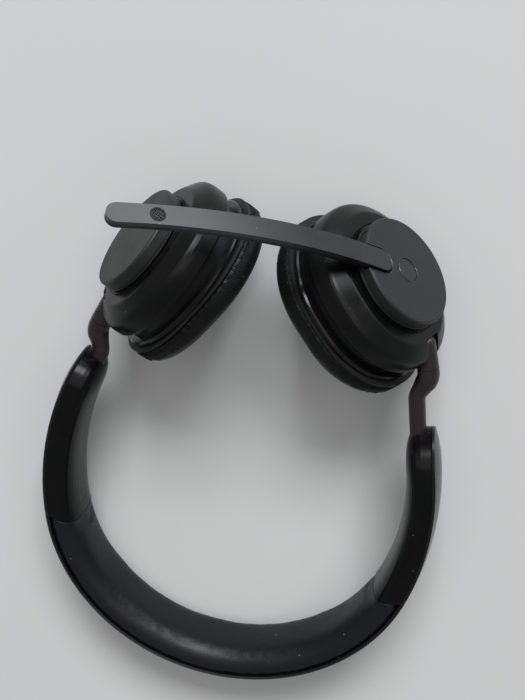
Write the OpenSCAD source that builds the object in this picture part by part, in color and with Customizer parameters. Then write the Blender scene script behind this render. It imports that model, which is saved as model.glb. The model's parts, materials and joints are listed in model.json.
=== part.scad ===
// Office headset lying on its side: a sprung headband, two sliding arms, two
// ear cups that swivel and tilt, and a boom microphone on the right-hand cup.
// Millimetres, +Z up, +Y from the crown to the cups, origin under the middle.

/* [Headband] */
// Radius of the crown's centre line
crown_r = 71.2; // [60:0.1:85]
// Half angle of the crown arc
crown_half = 76.84; // [60:0.1:85]
// Radius of the straighter limbs
limb_r = 111; // [90:1:150]
// Angle at which a limb's rounded end begins, above the limb arc's centre
limb_end = 15.6; // [8:0.1:24]
// Width of the band, front to back
band_w = 28.6; // [20:0.2:40]
// Height of the crowned outer surface above the centre line
band_out = 6.7; // [5:0.1:9]
// Depth of the padding below the centre line
band_in = 6.7; // [5:0.1:9]
// Angle of the crown that each sleeve covers
sleeve_lap = 1.8; // [1:0.1:20]
// Slant of the seam between pad and sleeve
seam_slant = 27; // [0:1:35]
// Width of the spring steel strip
strip_w = 16; // [10:0.5:22]
// Thickness of the spring steel strip
strip_t = 0.8; // [0.5:0.1:1.5]

/* [Arms] */
// Height of the cup hinge above the crown arc's centre, arm pushed in
hinge_y = 75.25; // [65:0.1:90]
// Distance of the cup hinge from the middle, arm pushed in
hinge_x = 60.8; // [50:0.1:70]
// How far the left arm is drawn out
left_draw = 0; // [0:0.5:20]
// How far the right arm is drawn out
right_draw = 12; // [0:0.5:20]
// Full travel of an arm
arm_travel = 18; // [10:1:30]
// Lean of the sliding rail
rail_lean = 15; // [5:0.5:20]
// Lean of the arm's finger
finger_lean = 18.1; // [5:0.1:30]
// Lean of the piece between the two bends
neck_lean = 18; // [5:0.5:30]
// Bend radius
bend_r = 7; // [5:0.5:12]
// Thickness of the arm at the elbow
arm_t = 8.2; // [6.6:0.1:9]
// Thickness of the arm where it slides in the sleeve
stem_t = 6.4; // [5:0.1:7]
// Thickness of the sliding rail
rail_t = 1.6; // [1:0.1:2.5]
// Width of the sliding rail
rail_w = 6; // [4:0.1:6]

/* [Cups] */
// Radius of the outer disc
disc_r = 20.9; // [15:0.1:28]
// Thickness of the outer disc
disc_t = 5.5; // [3:0.1:8]
// Height of the cup over everything
cup_h = 36.9; // [28:0.1:45]
// Half width of the body across its oval
body_r = 30.4; // [26:0.1:34]
// Extra half length of the body's oval
body_o = 2.4; // [0:0.1:6]
// Wall of the body
wall = 1.8; // [1.2:0.1:3]
// Half width of the cushion across its oval
pad_r = 31.6; // [26:0.1:38]
// Extra half length of the cushion's oval
pad_o = 4.4; // [0:0.1:8]
// Half width of the ear opening
ear_r = 13.9; // [10:0.1:20]
// Hinge pin's distance from the disc's axis
pin_d = 26.6; // [22:0.1:32]
// Hinge pin's depth below the disc's face
pin_h = 10.4; // [8:0.1:14]
// Hinge pin's radius
pin_r = 1.25; // [0.8:0.05:2]
// Radius of the swivel knuckle
knuckle_r = 3.6; // [3:0.1:6]
// Right cup turned up about the arm
right_swivel = 22.3; // [-20:0.1:40]
// Left cup turned up about the arm
left_swivel = 18.8; // [-20:0.1:40]
// Right cup toed in
right_tilt = 29.9; // [-5:0.1:32]
// Left cup toed in
left_tilt = 14.3; // [-5:0.1:32]

/* [Boom] */
// Angle of the boom from the arm
boom_angle = 126; // [-135:0.5:135]
// Distance of the boom's root end from the disc's axis
boom_root = 9.5; // [8:0.1:12]
// Distance of the boom's tip from the disc's axis
boom_tip = 114; // [80:1:140]
// Width of the boom at the root
boom_w = 8.2; // [6:0.1:10]
// Width of the boom at the tip
boom_tip_w = 7; // [5:0.1:9]
// Thickness of the boom
boom_t = 3.4; // [2.4:0.1:5]
// Radius of the boom's curve
boom_curve = 212; // [120:1:400]
// Distance of the microphone port from the disc's axis
mic_at = 99; // [70:1:130]
// Radius of the microphone port
mic_r = 2.3; // [1.5:0.1:3]

/* [Hidden] */
$fn = 72;
// running clearance of a pin or shaft
run = 0.05;
// clearance of a fixed pin
seat = 0.02;
// step where an arc meets its neighbour, and the overlap in degrees
joint = 0.02;
lap = 0.4;
// lean and roll of the whole headset on the table
lean = 8.863;
roll = -1.809;
// placing: sideways, towards the cups, and up
off_x = 0.04;
off_y = -25.296;
off_z = 25.878;
limb_cx = (crown_r - limb_r) * sin(crown_half);
limb_cy = -(crown_r - limb_r) * cos(crown_half);
split = 3.3;
pad_half = crown_half - sleeve_lap;
seam_gap = 0.3;
rail_dir = [-sin(rail_lean), cos(rail_lean)];
finger_dir = [sin(finger_lean), -cos(finger_lean)];
finger_l = 11;
finger_gap = 9.3;
knuckle_l = 9.1;
post_r = 1.7;
neck_l = 4.4;
neck_dir = [-sin(neck_lean), -cos(neck_lean)];
// path of the arm from the hinge, outwards and down
bend_a = finger_l * finger_dir;
bend_ac = bend_a - bend_r * [cos(finger_lean), sin(finger_lean)];
bend_ae = bend_ac + bend_r * [cos(neck_lean), -sin(neck_lean)];
bend_b = bend_ae + neck_l * neck_dir;
bend_bc = bend_b + bend_r * [cos(neck_lean), -sin(neck_lean)];
bend_be = bend_bc - bend_r * [cos(rail_lean), sin(rail_lean)];
rail_start = 18.5;
rail_end = 42;
lug_w = 12;
lug_l = 2.5;
slot_gap = 0.3;
// depths below the disc's face
ring_top = -disc_t - 0.4;
plate_z = ring_top - 0.7;
rim_z = plate_z - 16.4;
gloss_z = rim_z - 2.2;
base_z = gloss_z - 1;
soft_z = base_z - 0.3;
shaft_r = 7;
ring_r = disc_r + 0.8;
inner_r = body_r - wall;
// step down to the neck behind the glossy ring
neck_z = plate_z - 11.6;
neck_r = body_r - 2.7;
neck_in = neck_r - wall;
neck_fit = 0.1;
boss_ring = 20.4;
boss_angles = [62, 180, 298];
key_turn = 9;
slider_w = 5.4;
slider_run = 3.2;
key_w = 8;
key_h = 3;
key_z = plate_z - 7.6;
button_r = 4.4;
boom_start = 20;
boom_top = 0.8;
boom_seam = boom_top - boom_t * 0.55;
boom_low = boom_top - boom_t;

// ---- placing ----
module lying() {
  translate([off_x, off_y, off_z]) rotate([0, roll, 0]) rotate([lean, 0, 0])
    children();
}

// the hinge of one side, in the headset's plane
function hinge_at(side, draw) =
  [side * (hinge_x + draw * rail_dir[0]), hinge_y + draw * rail_dir[1], 0];

// frame of the knuckle: +X to the band along the finger, +Y along the pin
module at_knuckle(side) {
  draw = side > 0 ? right_draw : left_draw;
  swivel = side > 0 ? right_swivel : left_swivel;
  lying() translate(hinge_at(side, draw))
    rotate([0, 0, side * finger_lean]) rotate([0, -side * swivel, 0])
      rotate([-side * 90, 0, 0]) rotate([0, side * 90, 0]) children();
}

// frame of the cup: origin on the disc's face, +X to the band, +Z outwards
module at_cup(side) {
  tilt = side > 0 ? right_tilt : left_tilt;
  at_knuckle(side) rotate([0, -tilt, 0]) translate([-pin_d, 0, pin_h])
    children();
}

// ---- oval turned shapes ----
module oval(points, o) {
  translate([o, 0, 0]) rotate([0, 0, -90])
    rotate_extrude(angle = 180) polygon(points);
  translate([-o, 0, 0]) rotate([0, 0, 90])
    rotate_extrude(angle = 180) polygon(points);
  rotate([90, 0, 90]) translate([0, 0, -o]) linear_extrude(2 * o) {
    polygon(points);
    mirror([1, 0]) polygon(points);
  }
}

function disc_points(r, z0, z1) = [[0, z0], [r, z0], [r, z1], [0, z1]];

// ---- headband ----
function fold(n, w, d, e) = [
  for (i = [0 : n]) let (a = 180 * i / n, c = cos(a), s = sin(a))
    [-0.5 - d * pow(s, 2 / e), -w * sign(c) * pow(abs(c), 2 / e)]
];

// padding: flat against the shell, folded round on the inside
module pad_section() {
  polygon(concat([[split, -band_w / 2 + 0.2]],
    fold(18, band_w / 2 - 0.2, band_in - 0.5, 2.6),
    [[split, band_w / 2 - 0.2]]));
}

// shell: thin at the edges and crowned in the middle
module shell_section() {
  h = band_w / 2 - 0.4;
  rise = band_out - 4.7;
  polygon(concat([[split, -h], [3.9, -h - 0.35]],
    [for (i = [-8 : 8]) [4.7 + rise * (1 - pow(i / 8, 2)), i / 8 * h]],
    [[3.9, h + 0.35], [split, h]]));
}

module strip_section(grow) {
  translate([split - 1, -strip_w / 2 - grow])
    square([1 + strip_t + grow, strip_w + 2 * grow]);
}

// a section carried along the crown, from one angle to another
module crown(from, to) {
  rotate([0, 0, from - 90]) rotate_extrude(angle = to - from)
    translate([crown_r, 0]) children();
}

// a section carried up one limb, a hair under size where it enters the crown
module limb(side) {
  k = 1 - 2 * joint / band_w;
  mirror([side > 0 ? 0 : 1, 0, 0]) translate([limb_cx, limb_cy, 0])
    rotate([0, 0, crown_half - 90 - lap])
      rotate_extrude(angle = 90 - crown_half + limb_end + lap)
        translate([limb_r + joint, 0]) scale([k, k]) children();
}

// frame at the end of a limb: +X outwards, +Y along the limb
module at_limb_end(side) {
  mirror([side > 0 ? 0 : 1, 0, 0]) translate([limb_cx, limb_cy, 0])
    rotate([0, 0, limb_end]) translate([limb_r, 0, 0]) children();
}

// the section turned through half a circle, so the end is round from the side
module end_dome() {
  translate([0, -0.1, 0]) rotate([0, 90, 0]) rotate_extrude(angle = 180)
    mirror([1, -1]) intersection() {
      children();
      translate([-band_w, 0]) square([2 * band_w, band_w]);
    }
}

module band_shell() {
  color([0.06, 0.06, 0.065]) lying() difference() {
    union() {
      crown(-crown_half, crown_half) shell_section();
      for (side = [-1, 1]) {
        limb(side) shell_section();
        at_limb_end(side) end_dome() shell_section();
      }
    }
    crown(-crown_half + 1, crown_half - 1) strip_section(0.05);
  }
}

module band_spring() {
  color([0.55, 0.56, 0.58]) lying()
    intersection() {
      crown(-crown_half + 1.2, crown_half - 1.2) strip_section(0);
      crown(-crown_half, crown_half)
        translate([split + joint, -strip_w])
          square([strip_t + 1, 2 * strip_w]);
    }
}

// frame on the seam: +X out along the cut, +Y up the sleeve
module at_seam(side) {
  mirror([side > 0 ? 0 : 1, 0, 0]) rotate([0, 0, pad_half - 90])
    translate([crown_r, 0, 0]) rotate([0, 0, seam_slant]) children();
}

module band_pad() {
  color([0.08, 0.085, 0.09]) lying() difference() {
    crown(-pad_half - 1.5, pad_half + 1.5) pad_section();
    for (side = [-1, 1]) at_seam(side)
      translate([-band_w / 2, -seam_gap / 2, -band_w])
        cube([band_w, 12, 2 * band_w]);
  }
}

// frame of the rail in the band: origin at the last bend, +Y back up the arm
module at_rail(side, draw) {
  mirror([side > 0 ? 0 : 1, 0, 0])
    translate([hinge_x + draw * rail_dir[0] + bend_be[0],
               hinge_y + draw * rail_dir[1] + bend_be[1], 0])
      rotate([0, 0, rail_lean]) children();
}

// room for a flat piece of the rail, from the band's inner end of its travel
module slot(w, l) {
  translate([-rail_t / 2 - slot_gap, -rail_end - 0.5, -w / 2 - slot_gap])
    cube([rail_t + 2 * slot_gap, l, w + 2 * slot_gap]);
}

module sleeve(side) {
  color([0.07, 0.07, 0.075]) lying() difference() {
    union() {
      mirror([side > 0 ? 0 : 1, 0, 0])
        crown(pad_half - 5, crown_half) pad_section();
      limb(side) pad_section();
      at_limb_end(side) end_dome() pad_section();
    }
    at_seam(side) translate([-band_w / 2, seam_gap / 2 - 12, -band_w])
      cube([band_w, 12, 2 * band_w]);
    // mouth for the arm, then the rail's slot and the stop's wider channel
    at_rail(side, 0) {
      rotate([90, 0, 0]) translate([0, 0, -12])
        cylinder(h = 12 + rail_start + 0.4, r = stem_t / 2 + slot_gap);
      slot(rail_w, rail_end - rail_start + 2);
      slot(lug_w, arm_travel + lug_l + 0.6);
    }
  }
}
module left_sleeve() { sleeve(-1); }
module right_sleeve() { sleeve(1); }

// ---- arms ----
// a straight or tapered piece that laps a little into the bends at its ends
module arm_bar(p, a, l, t0, t1, lap0, lap1) {
  translate([p[0], p[1], 0]) rotate([0, 0, a]) rotate([90, 0, 0])
    translate([0, 0, -lap0]) cylinder(h = l + lap0 + lap1,
      r1 = t0 / 2 - joint, r2 = t1 / 2 - joint);
}

module arm(side) {
  draw = side > 0 ? right_draw : left_draw;
  color([0.2, 0.14, 0.14]) lying() translate(hinge_at(side, draw))
    mirror([side > 0 ? 0 : 1, 0, 0]) difference() {
      union() {
        arm_bar(finger_gap * finger_dir, finger_lean,
                finger_l - finger_gap, arm_t, arm_t, 0, 0.3);
        translate([bend_ac[0], bend_ac[1], 0]) rotate([0, 0, -neck_lean])
          rotate_extrude(angle = finger_lean + neck_lean)
            translate([bend_r, 0]) circle(arm_t / 2);
        arm_bar(bend_ae, -neck_lean, neck_l, arm_t, stem_t, 0.3, 0.3);
        translate([bend_bc[0], bend_bc[1], 0])
          rotate([0, 0, 180 - neck_lean])
            rotate_extrude(angle = neck_lean + rail_lean)
              translate([bend_r, 0]) circle(stem_t / 2);
        arm_bar(bend_be, rail_lean, rail_start, stem_t, stem_t, 0.3, 0);
        // post inside the knuckle
        rotate([0, 0, finger_lean]) rotate([90, 0, 0]) translate([0, 0, 3.4])
          cylinder(h = finger_gap - 3.3, r = post_r);
        translate([bend_be[0], bend_be[1], 0]) rotate([0, 0, rail_lean]) {
          translate([-rail_t / 2, -rail_end, -rail_w / 2])
            cube([rail_t, rail_end - rail_start + 1, rail_w]);
          translate([-rail_t / 2, -rail_end, -lug_w / 2])
            cube([rail_t, lug_l, lug_w]);
        }
      }
      rotate([0, 0, finger_lean]) rotate([90, 0, 0]) translate([0, 0, 5.6])
        rotate_extrude() translate([post_r + 0.3, 0]) circle(0.6, $fn = 32);
      // detent holes along the rail
      translate([bend_be[0], bend_be[1], 0]) rotate([0, 0, rail_lean])
        for (i = [0 : 5]) translate([-3, -rail_end + 6 + 3 * i, 0])
          rotate([0, 90, 0]) cylinder(h = 6, r = 0.8, $fn = 24);
    }
}
module left_arm() { arm(-1); }
module right_arm() { arm(1); }

// ---- knuckle between arm and cup ----
module knuckle(side) {
  color([0.19, 0.13, 0.13]) at_knuckle(side) difference() {
    union() {
      rotate([0, 90, 0])
        cylinder(h = knuckle_l, r1 = knuckle_r, r2 = arm_t / 2 - joint);
      sphere(knuckle_r);
    }
    translate([3.2, 0, 0]) rotate([0, 90, 0]) cylinder(h = 8, r = post_r + run);
    rotate([90, 0, 0]) translate([0, 0, -8]) cylinder(h = 16, r = pin_r + run);
    translate([5.6, post_r + 0.3, -5])
      cylinder(h = 10, r = 0.5 + seat, $fn = 32);
  }
}
module left_knuckle() { knuckle(-1); }
module right_knuckle() { knuckle(1); }

module dowel(side) {
  color([0.6, 0.6, 0.62]) at_knuckle(side)
    translate([5.6, post_r + 0.3, -2.8]) cylinder(h = 5.6, r = 0.5, $fn = 32);
}
module left_dowel() { dowel(-1); }
module right_dowel() { dowel(1); }

module hinge_pin(side) {
  color([0.6, 0.6, 0.62]) at_cup(side)
    translate([pin_d, knuckle_r + 1.9, -pin_h]) rotate([90, 0, 0])
      cylinder(h = 2 * (knuckle_r + 1.9), r = pin_r);
}
module left_hinge_pin() { hinge_pin(-1); }
module right_hinge_pin() { hinge_pin(1); }

// ---- cup body ----
outer_points = [
  [0, plate_z], [body_r - 6.6, plate_z], [body_r - 5.8, plate_z - 0.25],
  [body_r - 1.9, plate_z - 3], [body_r - 1.15, plate_z - 3.65],
  [body_r - 0.65, plate_z - 4.35], [body_r - 0.3, plate_z - 5.3],
  [body_r - 0.1, plate_z - 6.6], [body_r, plate_z - 8.2],
  [body_r, neck_z + 0.9], [body_r - 0.25, neck_z + 0.3],
  [body_r - 0.8, neck_z], [neck_r, neck_z - 0.2], [neck_r, rim_z], [0, rim_z]
];
cavity_points = [
  [0, plate_z - wall], [body_r - 7.4, plate_z - wall],
  [inner_r - 1.6, plate_z - wall - 2.6],
  [inner_r - 0.3, plate_z - wall - 3.7], [inner_r, plate_z - wall - 4.8],
  [inner_r, neck_z + 2], [neck_in, neck_z + 0.6],
  [neck_in, rim_z - 1], [0, rim_z - 1]
];

// the room the knuckle sweeps through, seen along the pin
module sweep_section(grow) {
  hull() {
    circle(knuckle_r + grow, $fn = 48);
    for (t = [-6, 31]) rotate(-t) translate([14, 0])
      circle(arm_t / 2 + grow, $fn = 48);
  }
}

module hinge_room(grow, half) {
  translate([pin_d, half, -pin_h]) rotate([90, 0, 0])
    linear_extrude(2 * half) sweep_section(grow);
}

// frame on the wall that faces backwards: +Y outwards, key number -1 or 1
module at_wall(back, n) {
  mirror([0, back > 0 ? 0 : 1, 0]) translate([n * body_o, 0, key_z])
    rotate([0, 0, -n * key_turn]) children();
}

module window(w, h) {
  translate([-w / 2, body_r - 5, -h / 2]) cube([w, 8, h]);
}

module cup_shell(side) {
  color([0.05, 0.05, 0.055]) at_cup(side) difference() {
    union() {
      difference() {
        oval(outer_points, body_o);
        oval(cavity_points, body_o);
      }
      // pocket round the knuckle
      intersection() {
        hinge_room(0.45 + 1.3, knuckle_r + 0.5 + 1.5);
        oval(outer_points, body_o);
      }
      for (a = boss_angles) rotate([0, 0, a]) translate([boss_ring, 0, rim_z])
        cylinder(h = -rim_z + plate_z - 1, r = 2.4, $fn = 36);
    }
    hinge_room(0.45, knuckle_r + 0.5);
    translate([0, 0, plate_z - 3]) cylinder(h = 5, r = shaft_r + run);
    translate([pin_d, 8, -pin_h]) rotate([90, 0, 0])
      cylinder(h = 16, r = pin_r + seat);
    for (a = boss_angles) rotate([0, 0, a]) translate([boss_ring, 0, rim_z - 1])
      cylinder(h = 8, r = 1 + seat, $fn = 24);
    if (side > 0) {
      // windows for the two volume keys, on the side that faces backwards
      for (n = [-1, 1]) at_wall(1, n) window(key_w + 0.3, key_h + 0.3);
    } else {
      // charging port and power slider, on the side that faces backwards
      at_wall(-1, -1) window(9.2, 3.5);
      at_wall(-1, 1) window(slider_w + slider_run + 0.4, 2.7);
    }
  }
}
module left_shell() { cup_shell(-1); }
module right_shell() { cup_shell(1); }

module base_ring(side) {
  color([0.06, 0.06, 0.065]) at_cup(side) rotate_extrude() polygon([
    [shaft_r + 0.4, plate_z], [ring_r, plate_z], [ring_r, ring_top + 0.25],
    [ring_r - 0.3, ring_top], [shaft_r + 0.4, ring_top]]);
}
module left_base_ring() { base_ring(-1); }
module right_base_ring() { base_ring(1); }

// ---- outer discs ----
module disc_profile() {
  polygon([
    [0, 0], [disc_r - 0.9, 0], [disc_r - 0.35, -0.2], [disc_r, -0.7],
    [disc_r, -disc_t + 1.5], [disc_r - 0.35, -disc_t + 1.3],
    [disc_r - 0.35, -disc_t + 1], [disc_r, -disc_t + 0.8],
    [disc_r, -disc_t + 0.3], [disc_r - 0.3, -disc_t], [10, -disc_t],
    [10, ring_top + 0.05], [0, ring_top + 0.05]]);
}

module left_disc() {
  color([0.09, 0.09, 0.095]) at_cup(-1) union() {
    rotate_extrude($fn = 96) disc_profile();
    translate([0, 0, ring_top]) cylinder(h = 0.1, r = 10);
    translate([0, 0, plate_z - wall]) cylinder(h = wall + 1, r = shaft_r - 0.1);
  }
}

module at_boom() { at_cup(1) rotate([0, 0, -boom_angle]) children(); }

module hub_disc() {
  color([0.09, 0.09, 0.095]) at_boom() difference() {
    union() {
      rotate_extrude($fn = 96) disc_profile();
      translate([0, 0, plate_z - wall - 2.2])
        cylinder(h = wall + 3.4, r = shaft_r);
    }
    // seat of the boom's root
    translate([root_c, 0, boom_low]) cylinder(h = 8, r = boom_w / 2 + 0.25);
    translate([root_c, -boom_w / 2 - 0.25, boom_low])
      cube([14, boom_w + 0.5, 8]);
    // shallow margin round the seat
    translate([root_c, 0, -0.35]) cylinder(h = 3, r = boom_w / 2 + 1);
    translate([root_c, -boom_w / 2 - 1, -0.35]) cube([14, boom_w + 2, 3]);
    // call button's well and stem
    translate([0, 0, -3.2]) cylinder(h = 6, r = button_r + 0.2);
    translate([0, 0, -disc_t - 6]) cylinder(h = 14, r = 1.6 + run);
    translate([0, 0, -disc_t - 6]) cylinder(h = 6.6, r = 4.2);
    // groove of the clip
    translate([0, 0, plate_z - wall - 1.3]) difference() {
      cylinder(h = 1, r = shaft_r + 1);
      translate([0, 0, -1]) cylinder(h = 3, r = shaft_r - 0.7);
    }
    // index mark on the rim
    rotate([0, 0, -32]) translate([disc_r, 0, -disc_t + 1.8])
      cylinder(h = 3, r = 0.5, $fn = 24);
  }
}

module hub_clip() {
  color([0.62, 0.62, 0.64]) at_boom()
    translate([0, 0, plate_z - wall - 1.25]) difference() {
      cylinder(h = 0.9, r = shaft_r + 1.8);
      translate([0, 0, -1]) cylinder(h = 3, r = shaft_r - 0.65);
      rotate([0, 0, 60]) translate([0, -2, -1]) cube([14, 4, 3]);
    }
}

module call_button() {
  color([0.1, 0.1, 0.105]) at_boom() {
    translate([0, 0, -2]) cylinder(h = 1.9, r = button_r);
    translate([0, 0, -disc_t - 1])
      cylinder(h = disc_t - 0.8, r = 1.6, $fn = 36);
    translate([0, 0, -disc_t - 0.7]) cylinder(h = 1, r = 2.6, $fn = 36);
  }
}

// ---- boom ----
tip_c = boom_tip - boom_tip_w / 2;
root_c = boom_root + boom_w / 2;

module boom_plan() {
  translate([root_c, 0]) circle(boom_w / 2);
  polygon([[root_c, -boom_w / 2], [tip_c - 8, -boom_tip_w / 2],
           [tip_c - 2, -boom_tip_w / 2], [tip_c - 2, boom_tip_w / 2],
           [tip_c - 8, boom_tip_w / 2], [root_c, boom_w / 2]]);
}

// a slab that runs flat past the disc's rim and then curves to the mouth
module boom_slab(z0, z1) {
  translate([0, -8, z0]) cube([boom_start, 16, z1 - z0]);
  translate([boom_start, 8, boom_top - boom_curve]) rotate([90, 0, 0])
    rotate([0, 0, 90]) rotate_extrude(angle = -30, $fn = 360)
      translate([boom_curve - boom_top + z0, 0]) square([z1 - z0, 16]);
}

// frame on the boom's face, square to its curve, some way out
module on_boom(at) {
  turn = asin((at - boom_start) / boom_curve);
  translate([at, 0, boom_top - boom_curve * (1 - cos(turn))])
    rotate([0, turn, 0]) children();
}

module boom_piece(z0, z1) {
  intersection() {
    boom_slab(z0, z1);
    union() {
      translate([0, 0, -60]) linear_extrude(80) boom_plan();
      on_boom(tip_c) translate([0, 0, -10]) {
        cylinder(h = 20, r = boom_tip_w / 2);
        translate([-5, -boom_tip_w / 2, 0]) cube([5, boom_tip_w, 20]);
      }
    }
  }
}

// frame on the boom's face at the microphone
module at_mic() {
  at_boom() on_boom(mic_at) children();
}

module boom_face() {
  color([0.1, 0.105, 0.11]) difference() {
    at_boom() boom_piece(boom_seam, boom_top);
    at_mic() translate([0, 0, -0.7]) cylinder(h = 3, r = mic_r + 0.3, $fn = 48);
    at_mic() translate([0, 0, -3]) cylinder(h = 4, r = mic_r - 0.3, $fn = 48);
  }
}

module boom_back() {
  color([0.08, 0.08, 0.085]) difference() {
    at_boom() boom_piece(boom_low, boom_seam);
    at_mic() translate([0, 0, -2.9]) cylinder(h = 3, r = mic_r - 0.3, $fn = 48);
  }
}

module mic_grille() {
  color([0.14, 0.14, 0.15]) at_mic() difference() {
    translate([0, 0, -0.7]) cylinder(h = 0.75, r = mic_r + 0.28, $fn = 48);
    translate([0, 0, -0.25]) cylinder(h = 1, r = mic_r - 0.25, $fn = 48);
    for (a = [0 : 60 : 300]) rotate([0, 0, a]) translate([1.25, 0, -2])
      cylinder(h = 4, r = 0.35, $fn = 16);
    translate([0, 0, -2]) cylinder(h = 4, r = 0.35, $fn = 16);
  }
}

module mic_capsule() {
  color([0.5, 0.5, 0.45]) at_mic() translate([0, 0, -2.6])
    cylinder(h = 1.6, r = mic_r - 0.35, $fn = 36);
}

// ---- speaker side of a cup ----
module gloss_ring(side) {
  color([0.03, 0.03, 0.032]) at_cup(side) difference() {
    oval([[0, rim_z], [body_r - 0.5, rim_z], [body_r + 0.1, rim_z - 0.5],
          [body_r + 0.2, rim_z - 1.1], [body_r + 0.05, gloss_z + 0.35],
          [body_r - 0.4, gloss_z], [0, gloss_z]], body_o);
    oval(disc_points(neck_in, rim_z + 1, gloss_z - 1), body_o);
  }
}
module left_gloss_ring() { gloss_ring(-1); }
module right_gloss_ring() { gloss_ring(1); }

module baffle(side) {
  color([0.12, 0.12, 0.125]) at_cup(side) difference() {
    oval(disc_points(neck_in - neck_fit, rim_z, gloss_z), body_o);
    for (a = boss_angles) rotate([0, 0, a]) translate([boss_ring, 0, 0]) {
      translate([0, 0, gloss_z - 1]) cylinder(h = 5, r = 1.1, $fn = 24);
      translate([0, 0, gloss_z - 1]) cylinder(h = 2.1, r = 2, $fn = 24);
    }
    for (a = [0 : 60 : 300]) rotate([0, 0, a]) translate([4.6, 0, gloss_z - 1])
      cylinder(h = 5, r = 1.5, $fn = 24);
    for (a = [0 : 30 : 330]) rotate([0, 0, a]) translate([9.2, 0, gloss_z - 1])
      cylinder(h = 5, r = 1.5, $fn = 24);
    translate([0, 0, gloss_z - 1]) cylinder(h = 5, r = 1.5, $fn = 24);
  }
}
module left_baffle() { baffle(-1); }
module right_baffle() { baffle(1); }

module driver(side) {
  color([0.35, 0.35, 0.37]) at_cup(side) rotate_extrude() polygon([
    [0, rim_z + 8.6], [9, rim_z + 8.6], [9, rim_z + 5.2], [13, rim_z + 4.6],
    [14.6, rim_z + 1.4], [17, rim_z + 1.2], [17, rim_z], [14.4, rim_z],
    [12.6, rim_z + 3.4], [9, rim_z + 4.2], [0, rim_z + 4.2]]);
}
module left_driver() { driver(-1); }
module right_driver() { driver(1); }

module cone(side) {
  color([0.75, 0.72, 0.65]) at_cup(side) rotate_extrude() polygon([
    [0, rim_z + 3.2], [3, rim_z + 2.9], [5, rim_z + 1.6], [7, rim_z + 0.7],
    [9, rim_z + 1.3], [11.8, rim_z + 0.4], [14.1, rim_z + 0.3],
    [14, rim_z + 0.6], [11.8, rim_z + 0.7], [9, rim_z + 1.6],
    [7, rim_z + 1], [5.2, rim_z + 1.9], [3.2, rim_z + 3.2], [0, rim_z + 3.5]]);
}
module left_cone() { cone(-1); }
module right_cone() { cone(1); }

module scrim(side) {
  color([0.1, 0.1, 0.11]) at_cup(side)
    oval(disc_points(ear_r - 0.6, gloss_z - 0.5, gloss_z), pad_o);
}
module left_scrim() { scrim(-1); }
module right_scrim() { scrim(1); }

module cushion_plate(side) {
  color([0.07, 0.07, 0.075]) at_cup(side) difference() {
    oval(disc_points(body_r + 0.4, base_z, gloss_z), pad_o);
    oval(disc_points(ear_r, base_z - 1, gloss_z + 1), pad_o);
  }
}
module left_cushion_plate() { cushion_plate(-1); }
module right_cushion_plate() { cushion_plate(1); }

module cushion(side) {
  top = soft_z;
  low = -cup_h;
  color([0.07, 0.07, 0.075]) at_cup(side) difference() {
    oval([[0, top], [pad_r - 3.6, top], [pad_r - 1.4, top - 0.8],
          [pad_r - 0.3, top - 2.4], [pad_r, top - 4.2],
          [pad_r - 0.5, top - 6.2], [pad_r - 1.8, low + 2],
          [pad_r - 4, low + 0.7], [pad_r - 7, low],
          [pad_r - 10.6, low + 0.1], [0, low + 0.1]], pad_o);
    oval([[0, top + 1], [ear_r + 0.9, top + 1], [ear_r + 0.1, top - 2.4],
          [ear_r, top - 5.2], [ear_r + 0.8, low + 3], [ear_r + 2.6, low + 1.2],
          [ear_r + 5.6, low + 0.2], [ear_r + 7.1, low - 1], [0, low - 1]],
         pad_o);
  }
}
module left_cushion() { cushion(-1); }
module right_cushion() { cushion(1); }

module screws(side) {
  color([0.6, 0.6, 0.62]) at_cup(side) for (a = boss_angles)
    rotate([0, 0, a]) translate([boss_ring, 0, 0]) difference() {
      union() {
        translate([0, 0, gloss_z + 0.1]) cylinder(h = 1, r = 1.8, $fn = 24);
        translate([0, 0, gloss_z + 0.1]) cylinder(h = 7, r = 1, $fn = 24);
      }
      translate([0, 0, gloss_z - 1]) cylinder(h = 1.7, r = 0.6, $fn = 6);
    }
}
module left_screws() { screws(-1); }
module right_screws() { screws(1); }

// ---- inside and at the edge ----
module battery() {
  color([0.7, 0.7, 0.72]) at_cup(-1)
    translate([-16, -11, plate_z - wall - 4.4]) cube([30, 22, 4.4]);
}

module port_section(r) {
  translate([-2.9, 0]) circle(r, $fn = 24);
  translate([2.9, 0]) circle(r, $fn = 24);
  translate([-2.9, -r]) square([5.8, 2 * r]);
}

module charge_port() {
  color([0.65, 0.65, 0.67]) at_cup(-1) at_wall(-1, -1) difference() {
    translate([0, body_r - 0.5, 0]) rotate([90, 0, 0]) linear_extrude(7)
      port_section(1.7);
    translate([0, body_r + 1, 0]) rotate([90, 0, 0]) linear_extrude(7)
      port_section(1.35);
  }
}

module power_slider() {
  color([0.12, 0.12, 0.125]) at_cup(-1) at_wall(-1, 1)
    translate([slider_run / 2, 0, 0]) {
      translate([-slider_w / 2, inner_r - 1, -1.1])
        cube([slider_w, wall + 1.5, 2.2]);
      translate([-slider_w / 2 - 1.2, inner_r - 1.9, -2])
        cube([slider_w + 2.4, 1, 4]);
    }
}

module main_board() {
  color([0.08, 0.3, 0.16]) at_cup(1) difference() {
    translate([-20, -14, plate_z - wall - 5]) cube([36, 28, 1]);
    for (a = boss_angles) rotate([0, 0, a]) translate([boss_ring, 0, rim_z])
      cylinder(h = 30, r = 2.6, $fn = 36);
  }
}

module volume_key(n) {
  color([0.1, 0.1, 0.105]) at_cup(1) at_wall(1, n) {
    translate([-key_w / 2, inner_r - 1.5, -key_h / 2])
      cube([key_w, wall + 2.1, key_h]);
    translate([-key_w / 2 - 0.6, inner_r - 1.7, -key_h / 2 - 0.4])
      cube([key_w + 1.2, 0.8, key_h + 0.8]);
  }
}
module volume_up() { volume_key(-1); }
module volume_down() { volume_key(1); }

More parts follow.
